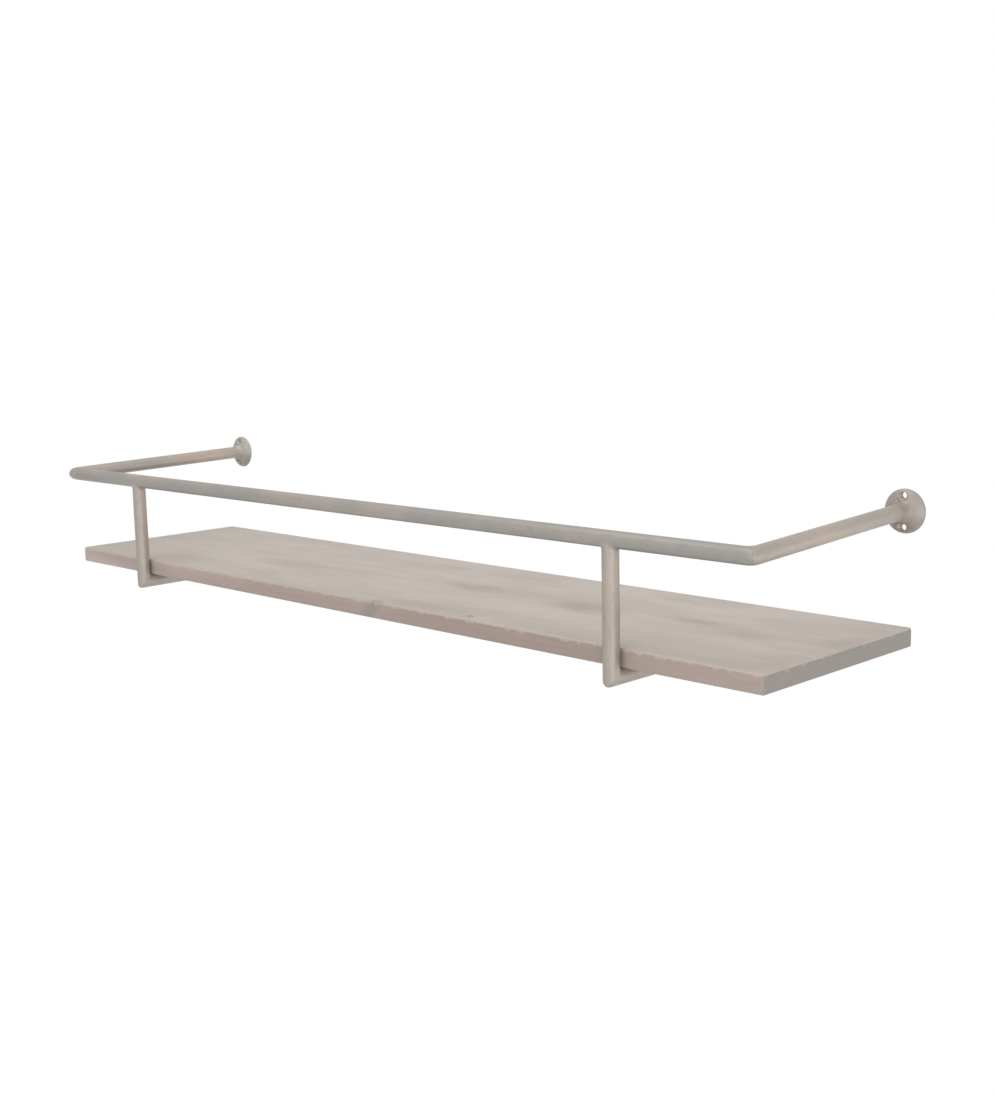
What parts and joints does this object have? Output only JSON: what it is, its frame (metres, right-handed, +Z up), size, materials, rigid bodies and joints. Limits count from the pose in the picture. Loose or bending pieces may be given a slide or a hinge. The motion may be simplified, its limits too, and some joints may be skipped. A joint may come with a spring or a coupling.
{
  "type": "pipe wall shelf",
  "caption": "Wall shelf: a wooden plank held by a welded frame of round bronze-finished tube, with a gallery rail round it and domed wall flanges.",
  "frame": {"origin": "on the wall, midway between the two wall flanges, at the height of their centres", "axes": "+X along the wall to the right of someone facing it, +Y into the wall, +Z up"},
  "size_m": [0.7, 0.1711, 0.1043],
  "materials": {
    "board_wood": "brown stained plank, matt, open grain with knots and worn edges",
    "bronze_tube": "antique bronze patina on steel tube, mottled satin",
    "bronze_flange": "antique bronze patina on steel, satin",
    "screw_steel": "zinc plated, satin",
    "plug_plastic": "black moulded, matt"
  },
  "bodies": {
    "root": {"shelf_board": "board_wood", "front_rail": "bronze_tube", "left_side_rail": "bronze_tube", "right_side_rail": "bronze_tube", "left_post": "bronze_tube", "right_post": "bronze_tube", "left_under_arm": "bronze_tube", "right_under_arm": "bronze_tube", "wall_flanges": "bronze_flange", "board_screws": "screw_steel", "arm_end_plugs": "plug_plastic"}
  },
  "joints": []
}
